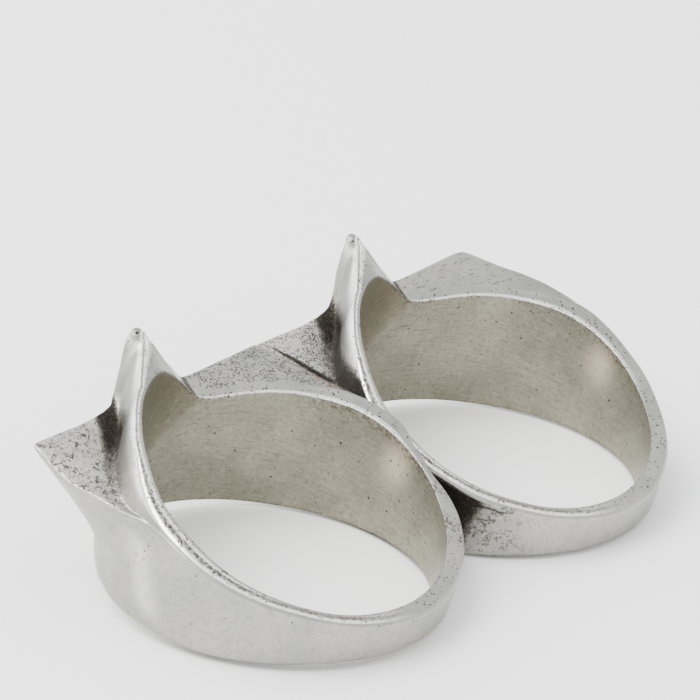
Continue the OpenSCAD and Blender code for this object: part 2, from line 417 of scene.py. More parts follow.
# %% [markdown]
# ### Round the finger
#
# The sections are swung round the finger, and smoothed along the swing too,
# so that the corners are soft in plan as well. The rounding draws the outer
# edge in, which is mended by moving it most of the way back. The centre
# point's tip is pushed out to a small ball, because the real one is blunt and
# smoothing alone would only make it shorter.


# %% The ring's surface
TIP = np.array([-0.27, 12.6, 5.93])
TIP_R = 0.42
TIP_ROUNDINGS, SWING_ROUNDINGS = 6, 3
EDGE_MOVED_BACK = 0.8  # of what the rounding drew it in
beside_edge = smoothstep(15, 1, np.abs(PLACE_IN_SECTION - outer_edge))


def blunt_tip(points):
    """Pushes the centre point's tip out to a small ball."""
    away = points - TIP
    gap = np.linalg.norm(away, axis=2, keepdims=True)
    points = np.where(gap < TIP_R, TIP + away / gap * TIP_R, points)
    # The ball runs on smoothly into the point: most within 1.2 radii, none past 2.6
    soft = smoothstep(2.6, 1.2, gap / TIP_R)
    for _ in range(TIP_ROUNDINGS):
        points = ease(ease(points, 0, 1, 0.5 * soft), 1, 1, 0.5 * soft)
    return points


def swung(section):
    """Sections swung round the finger's axis, as points."""
    angle = np.radians(ANGLES)[:, None]
    r, z = section[..., 0], section[..., 1]
    return np.stack([r * np.sin(angle), r * np.cos(angle), z], 2)


def ring_surface(side):
    """The points of a ring in its own mm, a row for each section."""
    points = ease(swung(softened(side)), 0, SWING_ROUNDINGS)
    drawn_in = swung(sections(side)[0])[:, outer_edge] - points[:, outer_edge]
    back = EDGE_MOVED_BACK * ease(drawn_in, 0, SWING_ROUNDINGS)
    points = points + back[:, None, :] * beside_edge[None, :, None]
    # The hole stays a true cylinder, and nothing else reaches into it
    bore = np.broadcast_to(REGION[None, :] == HOLE, points.shape[:2])
    flat = np.hypot(points[..., 0], points[..., 1])
    grow = np.where(bore, HOLE_R / flat, np.maximum(HOLE_R / flat, 1))
    points[..., 0] *= grow
    points[..., 1] *= grow
    return blunt_tip(points)


def normals(surface):
    """The direction straight out of the surface at each point."""
    around = np.roll(surface, -1, 0) - np.roll(surface, 1, 0)
    along = np.roll(surface, -1, 1) - np.roll(surface, 1, 1)
    straight = np.cross(along, around)
    return straight / (np.linalg.norm(straight, axis=2, keepdims=True) + TINY)


SURFACES = [ring_surface(LEFT), ring_surface(RIGHT)]
count, across = SURFACES[0].shape[:2]
print(count, "sections of", across, "points make", count * across, "points in one ring")

# %% [markdown]
# ## Where the silver stays dark
#
# The darkening survives in places that a polishing wheel can't reach: the valley between each ring's
# tall rim and its left arm, the notch where that valley meets the front, and the crease where the two
# rings meet, where painted shade also darkens the right ring's arm below the left ring's edge. In the
# narrow wedge behind them, and in a line where the right ring's rim passes the left one, the dark is
# painted shade of the gap between the rings. All but the wedge are lines in space with a width and a
# strength, and a point's darkness comes from its distance to the line.


# %% Lines of dark silver
def near_line(points, line):
    """1 on a line of (x, y, z, width, strength) stations, falling to 0 at its width."""
    dark = np.zeros(points.shape[:2])
    stations = np.array(line, float)
    for a, b in zip(stations, stations[1:]):
        way = b[:3] - a[:3]
        t = np.clip((points - a[:3]) @ way / (way @ way), 0, 1)
        gap = np.linalg.norm(points - a[:3] - t[..., None] * way, axis=2)
        width = a[3] + (b[3] - a[3]) * t
        dark = np.maximum(dark, (a[4] + (b[4] - a[4]) * t) * smoothstep(1, 0.4, gap / width))
    return dark


# Stations in a ring's own millimetres. First the notch and the valley
VALLEY = [
    [(-3.1, 11.4, 3.1, 0.6, 1.0), (-4.0, 10.7, 2.75, 1.05, 1.0), (-4.6, 9.7, 2.7, 1.05, 1.0),
     (-5.4, 8.9, 2.7, 1.0, 1.0), (-6.4, 8.0, 2.6, 0.85, 0.8), (-7.6, 6.9, 2.6, 0.8, 0.6),
     (-8.9, 5.5, 2.6, 0.6, 0.4)],
    [(-3.0, 11.4, 3.2, 0.7, 1.0), (-3.8, 10.7, 2.8, 1.15, 1.0), (-4.5, 9.6, 2.9, 1.1, 1.0),
     (-5.7, 8.5, 3.0, 1.1, 1.0), (-7.0, 7.3, 3.0, 1.1, 1.0), (-8.2, 6.0, 3.2, 1.25, 1.0),
     (-9.1, 4.7, 3.5, 1.4, 1.0), (-9.8, 3.2, 3.9, 0.9, 1.0)],
]
# Along the crease where the rings meet: on the left ring's wall, and on the right ring's arm and rim.
# Patina, and painted shade on the right ring's arm below the left ring's edge
CREASE = [
    [(10.3, 10.6, 2.8, 0.3, 0.7), (10.3, 8.7, 2.95, 0.3, 0.8), (10.3, 6.5, 3.15, 0.35, 0.9),
     (10.3, 5.1, 3.27, 0.35, 1.0), (10.3, 3.8, 3.57, 0.4, 1.0), (10.3, 2.3, 3.6, 0.4, 1.0)],
    [(-10.1, 11.1, 2.8, 0.14, 0.8), (-9.6, 10.6, 2.75, 0.17, 0.9), (-9.4, 10.1, 2.69, 0.2, 1.0),
     (-9.0, 9.2, 2.6, 0.24, 1.0), (-8.65, 8.3, 2.44, 0.3, 1.0), (-8.35, 7.3, 2.34, 0.36, 1.0),
     (-8.3, 6.4, 2.4, 0.5, 1.0)],
]
# Painted shade of the gap on the right ring's rim, where it passes the left one
RIM_GAP = [(-9.95, -0.6, 3.1, 0.2, 0.8), (-10.05, -1.5, 2.9, 0.32, 1.0),
           (-10.25, -2.5, 2.6, 0.42, 1.0), (-10.6, -3.8, 2.3, 0.5, 1.0)]
# On the right of each centre point
RIGHT_NOTCH = [(3.3, 11.1, 2.6, 0.35, 0.7), (3.1, 10.4, 2.55, 0.3, 0.7),
               (2.75, 9.6, 2.65, 0.25, 0.9), (2.1, 9.4, 3.1, 0.18, 0.8)]
# Two fine cracks that run on from the wedge over the right ring's wall
CRACKS = [[(-8.9, -5.65, 1.46, 0.12, 1.0), (-8.6, -6.22, 1.5, 0.1, 0.9), (-8.2, -6.7, 1.4, 0.1, 0.9),
           (-7.83, -7.14, 1.5, 0.08, 0.6)],
          [(-8.84, -5.78, 0.55, 0.09, 0.8), (-8.5, -6.31, 0.7, 0.09, 0.8),
           (-8.15, -6.78, 0.85, 0.08, 0.6)]]
# The left ring's lip along the crease, warm where the dark was rubbed thin
CREASE_LIP = [(10.15, 10.4, 2.8, 0.25, 0.6), (10.15, 8.7, 2.95, 0.3, 0.9), (10.1, 6.5, 3.3, 0.4, 1.0),
              (9.95, 4.6, 3.6, 0.4, 1.0), (9.95, 2.3, 3.7, 0.35, 0.9)]
# A pit that the casting left in each tip
TIP_PIT = [[(-0.52, 12.46, 6.22, 0.16, 0.9), (-0.50, 12.48, 6.21, 0.16, 0.9)],
           [(-0.60, 12.29, 6.20, 0.14, 0.9), (-0.66, 12.27, 6.10, 0.14, 0.9)]]
valley_length = math.dist(VALLEY[LEFT][0][:3], VALLEY[LEFT][-1][:3])
print("the left ring's valley is dark for", round(valley_length, 1), "mm")


# %% How dark each point is
# Painted shade of the gap behind the joint, a wedge: degrees where it ends at its foot, and how much
# later it does higher up
WEDGE_END, WEDGE_LEANS = 121.5, 2.0
# The left ring's valley is only so dark on the flank of the rim
FLANK_DARKNESS = 0.62


def angle_and_region(side):
    """For each point its degrees round the finger, and the stretch that it is in."""
    shape = SURFACES[side].shape[:2]
    return np.broadcast_to(ANGLES[:, None], shape), np.broadcast_to(REGION[None, :], shape)


def inwards(side, angle):
    """Degrees counted towards the other ring, so that both rings share the numbers."""
    return angle if side == LEFT else -angle


def darkness(side):
    """The lines of dark silver, some of them painted shade, and the painted shade of the wedge behind
    the joint, as one mask.
    """
    points = SURFACES[side]
    angle, region = angle_and_region(side)
    dark = near_line(points, VALLEY[side]) * (region >= FLANK)
    if side == LEFT:
        foot = PLACE_IN_SECTION[REGION == ARM][0]
        up_flank = smoothstep(-3.4, -0.8, PLACE_IN_SECTION - foot)
        dark = dark * (FLANK_DARKNESS + (1 - FLANK_DARKNESS) * up_flank)
    dark = np.maximum(dark, near_line(points, RIGHT_NOTCH) * (region >= RIM))
    # The crease: patina, and painted shade on the right ring's arm below the left ring's edge
    crease_from = WALL if side == LEFT else ARM
    dark = np.maximum(dark, near_line(points, CREASE[side]) * (region >= crease_from))
    dark = np.maximum(dark, near_line(points, TIP_PIT[side]))
    if side == RIGHT:
        # Painted shade of the gap where the right ring's rim passes the left one
        dark = np.maximum(dark, near_line(points, RIM_GAP) * (region >= RIM))
        for crack in CRACKS:
            dark = np.maximum(dark, near_line(points, crack))
    # The wedge behind the joint: painted shade in the gap between the two rings
    facing = inwards(side, angle)
    end = WEDGE_END + WEDGE_LEANS * smoothstep(-0.5, 2.0, points[..., 2])
    wedge = smoothstep(84, 92, facing) * smoothstep(2.5, -2.5, facing - end)
    wedge = wedge * (region >= WALL) * smoothstep(2.7, 2.3, points[..., 2])
    return np.maximum(dark, wedge)


DARK = [darkness(LEFT), darkness(RIGHT)]
print("dark share of the two rings", [round(float((dark > 0.5).mean()), 3) for dark in DARK])

# %% [markdown]
# ## Where each finish goes
#
# The rest of the finish also follows the shape: bright lines along the rims, partly polish and partly
# painted highlight, scribbles on the left arms, dots where the cast skin was left alone, a warm stain
# along the holes' lips, and painted shade and painted reflections. Each gets a mask, 0 to 1 on every
# point, made of the stretch of the section and of the degrees round the finger. The pairs in
# smoothstep are degrees, except with z, where they are millimetres, and those in near_place are
# points of the section.


# %% Rims, lips and painted reflections
# Shares of the cells with a dot, on the rims and in the left and right hole
RIM_DOTS = 0.16
HOLE_DOTS = (0.008, 0.005)
LOW_RIDGE = 0.8  # of the tall rim's brightness
LIP_STAIN = 0.4  # of its strength in the notch
# Where the stain of each hole's inner lip begins in degrees, and its strength
INNER_STAIN = [(50, 0.8), (75, 0.6)]
# The painted reflection in each hole: degrees and mm up of its middle, and its reach
PATCH_ANGLE, PATCH_HEIGHT = 95, 1.8
PATCH_ROUND, PATCH_UP = 6, 1.3
# The painted highlight strip down the left shoulder: degrees at height 0, more for each mm up, and
# its reach
STRIP_ANGLE, STRIP_LEANS, STRIP_ROUND = -81, 3.1, 5


def near_place(place, full, none):
    """1 at a place in the section, falling to 0 some points away."""
    return smoothstep(none, full, np.abs(PLACE_IN_SECTION - place))[None, :]


rim_places = PLACE_IN_SECTION[REGION == RIM]
lip = rim_places[0]
second_line = rim_places[RIM_STEPS]
groove = rim_places[RIM_STEPS + LINE_STEPS]
crest = rim_places[-1] + 1


def bright_ridge(angle):
    """Both lines of the tall rim, and right of the point the middle of the low one, painted bright:
    partly polish, partly painted highlight.
    """
    tall = smoothstep(9, 3, angle) * smoothstep(-179, -150, angle)
    low = smoothstep(14, 24, angle) * smoothstep(125, 95, angle)
    lines = np.maximum(near_place(crest + 0.3, 1.6, 3.3), near_place(second_line, 1.2, 3.2))
    return np.maximum(tall * lines, LOW_RIDGE * low * near_place((lip + second_line) / 2, 2, 5))


def lip_stain(side, angle, region):
    """Darker in the notch beside the point, and again where the holes face the joint."""
    notch = smoothstep(2, 8, angle) * smoothstep(30, 22, angle)
    start, strength = INNER_STAIN[side]
    beside_joint = smoothstep(start, start + 15, angle) * smoothstep(120, 105, angle)
    inner = strength * beside_joint * near_place(lip - 1, 1, 4) * (region == HOLE)
    return np.maximum(near_place(lip, 0.5, 3.0) * (LIP_STAIN + (1 - LIP_STAIN) * notch), inner)


def painted_reflections(side, angle, region, z):
    """Painted reflections: a soft bright patch inside each hole, and a bright strip down the left
    ring's shoulder.
    """
    away = ((angle - PATCH_ANGLE) / PATCH_ROUND) ** 2 + ((z - PATCH_HEIGHT) / PATCH_UP) ** 2
    patch = (region == HOLE) * np.exp(-away)
    if side == RIGHT:
        return patch
    strip = np.exp(-((angle - STRIP_ANGLE - STRIP_LEANS * z) / STRIP_ROUND) ** 2)
    strip = strip * smoothstep(-2.6, -1.4, z) * smoothstep(2.2, 1.2, z)
    return np.maximum(patch, (region >= ARM) * strip)


def dotted(side, left_arm, right_arm, region):
    """How many cells have a dot: most on the arm that ends at the dark valley."""
    if side == LEFT:
        arms = right_arm
    else:
        wide = [(x, y, z, width + 2.0, strength) for x, y, z, width, strength in VALLEY[side]]
        arms = left_arm * (0.6 + 0.6 * near_line(SURFACES[side], wide))
    return np.maximum(arms, (region == RIM) * RIM_DOTS + (region == HOLE) * HOLE_DOTS[side])


print("across the rim: lip", lip, "second line", second_line, "groove", groove, "crest", crest)


# %% All masks of a ring
# The shade under the point ends at these degrees at this height, and further
# on by so many degrees for each mm up
SHADE_END, SHADE_HEIGHT, SHADE_LEANS = 17, 2.5, 6.7


def masks(side):
    """Every mask of a ring, by name."""
    angle, region = angle_and_region(side)
    facing = inwards(side, angle)
    z = SURFACES[side][..., 2]
    left_arm = (region == ARM) * smoothstep(-74, -62, angle) * smoothstep(-14, -20, angle)
    right_arm = (region == ARM) * smoothstep(15, 20, angle) * smoothstep(88, 70, angle)
    groove_part = smoothstep(-30, -70, angle) * smoothstep(-179, -150, angle)
    shade_end = SHADE_END + (z - SHADE_HEIGHT) * SHADE_LEANS
    worn = smoothstep(100, 112, facing) * smoothstep(150, 128, facing)
    # Painted shade: the right ring's flank is darkened
    flank_shade = (region == FLANK) * smoothstep(-85, -60, angle) * smoothstep(-3, -14, angle)
    return {
        "dark": DARK[side],
        "inside": ease((region == HOLE).astype(float), 1, 2),
        # Painted shade in the hole, under the centre point
        "deep": (region == HOLE) * smoothstep(4, -4, angle - shade_end) * smoothstep(-90, -50, angle),
        "wall": ease((region == WALL).astype(float), 1, 2),
        # Painted shade on the upper part of each centre point
        "point": smoothstep(2.8, 4.2, z) * smoothstep(-75, -30, angle) * (region >= RIM),
        # Rim lines painted bright: partly polish, partly painted highlight
        "ridge": bright_ridge(angle),
        "groove": near_place(groove, 1, 3) * groove_part,
        "lip": lip_stain(side, angle, region),
        "dull_flank": side * flank_shade,
        "left_arm": ease(left_arm.astype(float), 1, 1),
        "scribble": ease(left_arm.astype(float), 1, 1) * (1 - side),
        "dotted": ease(dotted(side, left_arm, right_arm, region).astype(float), 1, 1),
        "scratched": ease((right_arm * side).astype(float), 1, 1),
        "low_lip": near_place(0, 0.5, 2.0) * smoothstep(-60, -20, angle),
        "copper": near_line(SURFACES[side], CREASE_LIP) * (region == ARM) * (1 - side),
        # Painted reflections: a patch in each hole and a strip down the left shoulder
        "rubbed": painted_reflections(side, angle, region, z),
        "worn": worn * (region >= (RIM if side == LEFT else ARM)),
    }


MASKS = [masks(LEFT), masks(RIGHT)]
print(len(MASKS[0]), "masks:", ", ".join(MASKS[0]))

# %% [markdown]
# ## Roughening the cast skin
#
# Silver that was cast and never filed isn't flat. The side arms get a coarse unevenness, which makes
# the scribbles on them catch the light, and the rest only the faint waves that hand polishing leaves.
# Noise moves each point along its own normal. The material could bend the light to the same effect,
# but then the outline would stay perfect and the mesh itself would be smooth. The holes are left
# alone, because they are true cylinders.


# %% Roughening
# Noise of so many waves per mm moves a point by so many mm
WAVES, WAVE_HEIGHT = 0.7, 0.012
ARM_WAVES, ARM_WAVE_HEIGHT = 2.2, 0.035
# So far away the right ring and the arms read the noise
NEXT_RING, NEXT_NOISE = 40.0, 5.0


def rough(point, scale, offset=0.0):
    """Smooth noise between about -1 and 1."""
    return noise.noise(Vector(point) * scale + Vector((offset, 0, 0)))


def roughened(side, mask):
    """A ring's surface with each point outside the hole moved along its normal."""
    surface = SURFACES[side]
    outward = normals(surface)
    moved = surface.copy()
    for i in range(count):
        for j in range(across):
            if REGION[j] == HOLE:
                continue
            place = surface[i, j] + (side * NEXT_RING, 0, 0)
            arm = mask["scribble"][i, j] + 0.5 * mask["dotted"][i, j]
            lift = WAVE_HEIGHT * rough(place, WAVES)
            if arm > 0.02:
                lift += arm * ARM_WAVE_HEIGHT * rough(place, ARM_WAVES, NEXT_NOISE)
            moved[i, j] += outward[i, j] * lift
    return moved


CAST_SURFACES = [roughened(side, MASKS[side]) for side in (LEFT, RIGHT)]
moves = np.linalg.norm(np.array(CAST_SURFACES) - np.array(SURFACES), axis=3)
print("the noise moves a point by up to", round(float(moves.max()), 3), "mm")

# %% [markdown]
# ## Making the piece
#
# A circle with as many points as a section has is spun once round the finger,
# in as many steps as there are sections. That gives a plain hoop, closed and
# without a seam, and it is put into one mesh twice, because the two rings are
# one casting. (The duplicate operator doesn't keep the order of the points
# where the hoop closes, so the hoop goes through a mesh of its own.) A spin
# leaves its faces in another order on each run, so they are sorted.


# %% Plain hoops
def by_points(face):
    """A number that sorts the faces by their points."""
    places = [vertex.index for vertex in face.verts]
    return min(places) * count * across + max(places)


def two_hoops():
    """Two hoops in a bmesh: a standing circle, spun from the palm round the finger, twice."""
    spun = bmesh.new()
    # A circle of radius 1 on end, 2 from the middle and at the palm, where the sections start
    standing = Matrix(((0, 0, 1, 0), (0, -1, 0, -2), (1, 0, 0, 0), (0, 0, 0, 1)))
    bmesh.ops.create_circle(spun, segments=across, radius=1.0, matrix=standing)
    bmesh.ops.spin(spun, geom=spun.verts[:] + spun.edges[:], cent=(0, 0, 0), axis=(0, 0, 1),
                   angle=-2 * math.pi, steps=count, use_merge=True)
    spun.verts.index_update()
    spun.faces.sort(key=by_points)
    hoop = bpy.data.meshes.new("plain_hoop")
    spun.to_mesh(hoop)
    spun.free()
    shape = bmesh.new()
    shape.from_mesh(hoop)
    shape.from_mesh(hoop)
    bpy.data.meshes.remove(hoop)
    return shape


hoops = two_hoops()
print("two plain hoops have", len(hoops.verts), "points and", len(hoops.faces), "faces")

# %% [markdown]
# ### From hoop to ring
#
# The hoops' points come in the same order as the sections' points, and each
# is moved to its place on the cast surface. A point in the wrong order would
# pull an edge right across the ring, so the longest edge is printed. Then the
# four-sided faces are cut in two, and their normals are turned outwards,
# because a spin can leave a shape inside out.


# %% The silver body
def placed(name, data):
    """An object made of some data, put into the scene."""
    thing = bpy.data.objects.new(name, data)
    bpy.context.scene.collection.objects.link(thing)
    return thing


def finished(name, shape):
    """An object made of a bmesh."""
    mesh = bpy.data.meshes.new(name)
    shape.to_mesh(mesh)
    shape.free()
    return placed(name, mesh)


def silver_body(shape):
    """Moves the hoops' points to the cast surface and cuts the faces in two."""
    vertices = iter(shape.verts)
    for place, cast_surface in zip(PLACES, CAST_SURFACES):
        for point in cast_surface.reshape(-1, 3):
            next(vertices).co = place @ Vector(point)
    print("longest edge in mm:", round(max(edge.calc_length() for edge in shape.edges) / MM, 2))
    # Of a face's two diagonals this one runs with the crease, whose dark line stays clean
    bmesh.ops.triangulate(shape, faces=shape.faces, quad_method="ALTERNATE")
    bmesh.ops.recalc_face_normals(shape, faces=shape.faces)
    for face in shape.faces:
        face.smooth = True
    return finished("silver_body", shape)


body = silver_body(hoops)
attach(body, "root")
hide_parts("knuckle_ring")
print("silver body:", len(body.data.vertices), "points,", len(body.data.polygons), "faces")

# %% [markdown]
# ### What the finish reads
#
# The masks are stored on the mesh's points, where the material finds them by
# name. Painting them by hand would do as well, but a formula stays right when
# the shape is changed. Scratches run round a band or across it, whichever way
# it turns, so they need a map that is laid round the band: its length in
# millimetres on one axis and its height on the other.


# %% Masks and the map round the band
def store_masks(mesh):
    """Stores every mask on the points, the left ring's first."""
    for name in MASKS[0]:
        value = np.concatenate([mask[name].reshape(-1) for mask in MASKS])
        mesh.attributes.new(name, "FLOAT", "POINT").data.foreach_set("value", value)


def band_map(mesh):
    """Lays a map on the mesh: millimetres round the finger, and height."""
    round_finger = np.radians(np.broadcast_to(ANGLES[:, None], (count, across))) * HOLE_R
    places = np.concatenate([np.stack([round_finger, surface[..., 2]], 2).reshape(-1, 2)
                             for surface in SURFACES])
    corners = np.empty(len(mesh.loops), int)
    mesh.loops.foreach_get("vertex_index", corners)
    on_face = places[corners].reshape(-1, 3, 2)
    # The faces that close the hoop run on past the palm and don't turn back
    turn_back = np.ptp(on_face[..., 0], axis=1) > math.pi * HOLE_R
    on_face[..., 0] += 2 * math.pi * HOLE_R * (turn_back[:, None] & (on_face[..., 0] < 0))
    mesh.uv_layers.new(name="band").data.foreach_set("uv", on_face.reshape(-1))


store_masks(body.data)
band_map(body.data)
print("on the points:", len(body.data.attributes), "attributes, the map among them")

# %% [markdown]
# ## The finish
#
# The metal is sterling silver, cast, darkened with sulphur and rubbed back.
# It shows three surfaces at once. The rubbed silver outside is pale grey with
# a satin sheen and a few casting pits. The holes are matt and warmer, because
# fingers have worn them and no wheel has. The darkened hollows are
# brown-black and hardly shine.
#
# A picture of old silver could be wrapped round the piece, but it would smear
# on the steep walls and show one fixed scratch twice. Noise in the piece's own
# space has no seam. Everything is built from one function that adds a node.
# The patterns and the layers of colour are tables, and short loops turn their
# rows into nodes.


# %% One colour, one node
def linear(hex_colour):
    """A colour as a screen shows it, made linear for the renderer."""
    shown = [int(hex_colour[i:i + 2], 16) / 255 for i in (1, 3, 5)]
    return [value / 12.92 if value <= 0.04045 else ((value + 0.055) / 1.055) ** 2.4
            for value in shown] + [1.0]


def add(tree, kind, inputs, output=0, **settings):
    """Adds a node and gives its output. An input is a value or another node's output."""
    node = tree.nodes.new("ShaderNode" + kind)
    for name, value in settings.items():
        setattr(node, name, value)
    for name, value in inputs.items():
        if isinstance(value, bpy.types.NodeSocket):
            tree.links.new(value, node.inputs[name])
        else:
            node.inputs[name].default_value = value
    return node.outputs[output] if node.outputs else node


def emptied(owner):
    """The node tree of a material or of the world, with nothing in it yet."""
    owner.use_nodes = True
    owner.node_tree.nodes.clear()
    return owner.node_tree


print("a middle grey is", round(linear("#808080")[0], 3), "to the renderer")

# %% [markdown]
# ### Patterns
#
# Each pattern has the size that it has on the metal, in spots or marks per
# millimetre, and is laid on the piece's own coordinates in metres or on the
# band's map. Grain and fine grain are drawn a little coarser than a real cast
# skin, which the picture would be too small to show.

# %% Tables of patterns
PER_METRE = 1000.0  # a pattern's scale in metres, for each one per mm
# name: (spots per mm, detail, roughness)
CLOUDS = {
    "cloud": (0.35, 3.0, 0.5),
    "cluster": (1.3, 2.0, 0.6),
    "mottle": (2.5, 5.0, 0.8),
    "ragged": (3.2, 5.0, 0.75),
    "grain": (5.0, 3.0, 0.6),
    "fine": (9.0, 2.0, 0.6),
}
# name: (coordinates, stretch, turn, marks per unit, detail, roughness)
SCRATCHES = {
    "round_scratches": ("band", (0.35, 6.0, 1.0), (0.0, 0.0, 0.0), 1.6, 4.0, 0.8),
    "upright_scratches": ("band", (5.0, 0.5, 1.0), (0.0, 0.0, 0.0), 1.6, 3.0, 0.75),
    "slanted_scratches": ("place", (0.25, 1.0, 1.0), (0.3, 0.2, 0.9), 6.0 * PER_METRE, 3.0, 0.7),
}
# name: spots per mm. A spot's size and how many there are follow further down
SPOTS = {"pit": 1.6, "dot": 4.0, "small_dot": 7.0}
# (lines per mm, their width as a share of the noise, where the noise starts)
SCRIBBLES = [(1.1, 0.055, 0.3), (1.9, 0.06, 0.7)]
print(len(CLOUDS) + len(SCRATCHES) + len(SPOTS) + len(SCRIBBLES), "patterns")

# %% [markdown]
# ### From tables to nodes
#
# Three ways to combine patterns are enough for this metal: to multiply them,
# to add them up, and to lay one colour over another. In a table a share is a
# number, a pattern's name, or a tuple of a name and two values of the pattern
# between which it fades in. Two more values say how weak and how strong the
# share then is, where that isn't 0 and 1.


# %% Products, totals and layers
def product(tree, found, *shares):
    """Multiplies shares: numbers, outputs, names of patterns, or names with their fades."""
    result = None
    for share in shares:
        if isinstance(share, tuple):
            name, low, high, *ends = share
            bottom, top = ends or (0.0, 1.0)
            share = add(tree, "MapRange", {0: found[name], 1: low, 2: high, 3: bottom, 4: top},
                        interpolation_type="SMOOTHSTEP")
        elif isinstance(share, str):
            share = found[share]
        if result is None:
            result = share
        else:
            result = add(tree, "Math", {0: result, 1: share}, operation="MULTIPLY")
    return result


def total(tree, found, terms):
    """Adds up products of shares."""
    result = 0.0
    for shares in terms:
        result = add(tree, "Math", {0: result, 1: product(tree, found, *shares)}, operation="ADD")
    return result


def painted(tree, found, base, layers):
    """Lays colours over a base, each with the strength that its shares give."""
    for hex_colour, *shares in layers:
        inputs = {0: product(tree, found, *shares), 6: base, 7: linear(hex_colour)}
        base = add(tree, "Mix", inputs, output=2, data_type="RGBA")
    return base


print("a fade is drawn by a Map Range node, all else by Math and Mix nodes")

# %% [markdown]
# ### The patterns of the silver
#
# Clouds and scratches are plain noise, drawn out along the scratches. Spots
# are the cells of a Voronoi pattern: the distance from a cell's centre gives
# the spot, and the cell's random colour says whether there is one. The
# scribbles on a cast skin are thin and curly, as the level lines on a map of
# twisted hills are.


# %% Clouds, scratches and spots
def simple_patterns(tree):
    """Masks, clouds, scratches and spots, by name."""
    found = {name: add(tree, "Attribute", {}, output="Fac", attribute_name=name) for name in MASKS[0]}
    on = {"place": add(tree, "TexCoord", {}, output="Object"),
          "band": add(tree, "UVMap", {}, uv_map="band")}
    for name, (per_mm, detail, roughness) in CLOUDS.items():
        found[name] = add(tree, "TexNoise", {"Vector": on["place"], "Scale": per_mm * PER_METRE,
                                             "Detail": detail, "Roughness": roughness})
    for name, (coordinates, draw_out, turn, scale, detail, roughness) in SCRATCHES.items():
        drawn_out = add(tree, "Mapping", {"Vector": on[coordinates], "Rotation": turn,
                                          "Scale": draw_out})
        found[name] = add(tree, "TexNoise", {"Vector": drawn_out, "Scale": scale,
                                             "Detail": detail, "Roughness": roughness})
    for name, per_mm in SPOTS.items():
        spots = {"Vector": on["place"], "Scale": per_mm * PER_METRE}
        found[name] = add(tree, "TexVoronoi", spots, output="Distance")
        chance = found[name].node.outputs["Color"]
        found[name + "_chance"] = add(tree, "SeparateColor", {0: chance})
    return found, on["place"]


silver = bpy.data.materials.new("antiqued_sterling_silver")
patterns, place = simple_patterns(emptied(silver))
print(silver.name, "reads", len(patterns), "masks and patterns")


# %% Scribbles and dots
RARE_PIT = 0.78  # only a cell with a higher chance has a pit
DOT_SIZES = (("dot", 0.42), ("small_dot", 0.6))  # as shares of their cells


def scribble(tree, found, place):
    """Scribbled marks, as on the cast skin of the side arm: level lines of twisted clouds."""
    marks = 0.0
    for per_mm, width, start in SCRIBBLES:
        moved = add(tree, "Mapping", {"Vector": place, "Location": (start, 0, 0)})
        twist = add(tree, "TexNoise", {"Vector": moved, "Scale": per_mm * PER_METRE, "Detail": 1.5,
                                       "Roughness": 0.5, "Distortion": 1.6})
        level = add(tree, "Math", {0: twist, 1: 0.5}, operation="SUBTRACT")
        found["level"] = add(tree, "Math", {0: level}, operation="ABSOLUTE")
        found["broken"] = add(tree, "TexNoise", {"Vector": moved, "Scale": 1.4 * per_mm * PER_METRE,
                                                 "Detail": 2.0, "Roughness": 0.5})
        lines = product(tree, found, ("level", width, 0.3 * width), ("broken", 0.43, 0.54))
        marks = add(tree, "Math", {0: marks, 1: lines}, operation="MAXIMUM")
    return product(tree, found, marks, "scribble", ("cluster", 0.35, 0.55, 0.5, 1.0))


def dots(tree, found):
    """Round dots in two sizes, more of them where the dotted mask and a cloud say so."""
    crowd = product(tree, found, "dotted", ("cluster", 0.32, 0.66, 0.25, 1.0))
    result = 0.0
    for name, size in DOT_SIZES:
        chosen = add(tree, "Math", {0: found[name + "_chance"], 1: crowd}, operation="LESS_THAN")
        spots = product(tree, found, (name, size, 0.5 * size), chosen)
        result = add(tree, "Math", {0: result, 1: spots}, operation="MAXIMUM")
    return result


def add_marks(tree, found, place):
    """Adds the pits, scribbles and dots to the patterns found, and the darkening's reach."""
    rare = add(tree, "Math", {0: found["pit_chance"], 1: RARE_PIT}, operation="GREATER_THAN")
    found["pits"] = product(tree, found, ("pit", 0.13, 0.06), rare)
    found["marks"] = scribble(tree, found, place)
    found["dots"] = dots(tree, found)
    # How far the darkening and the painted shade of the gaps reach: their mask, made uneven at its
    # border and less so inside
    found["unrest"] = total(tree, found, [("ragged",), ("fine",), (-1.0,)])
    found["reach"] = total(tree, found, [("dark",), ("unrest", ("dark", 0.02, 0.3),
                                                     ("dark", 1.0, 0.6, 0.75, 1.0))])


add_marks(silver.node_tree, patterns, place)
print("with pits, scribbles, dots and darkening:", len(silver.node_tree.nodes), "nodes")
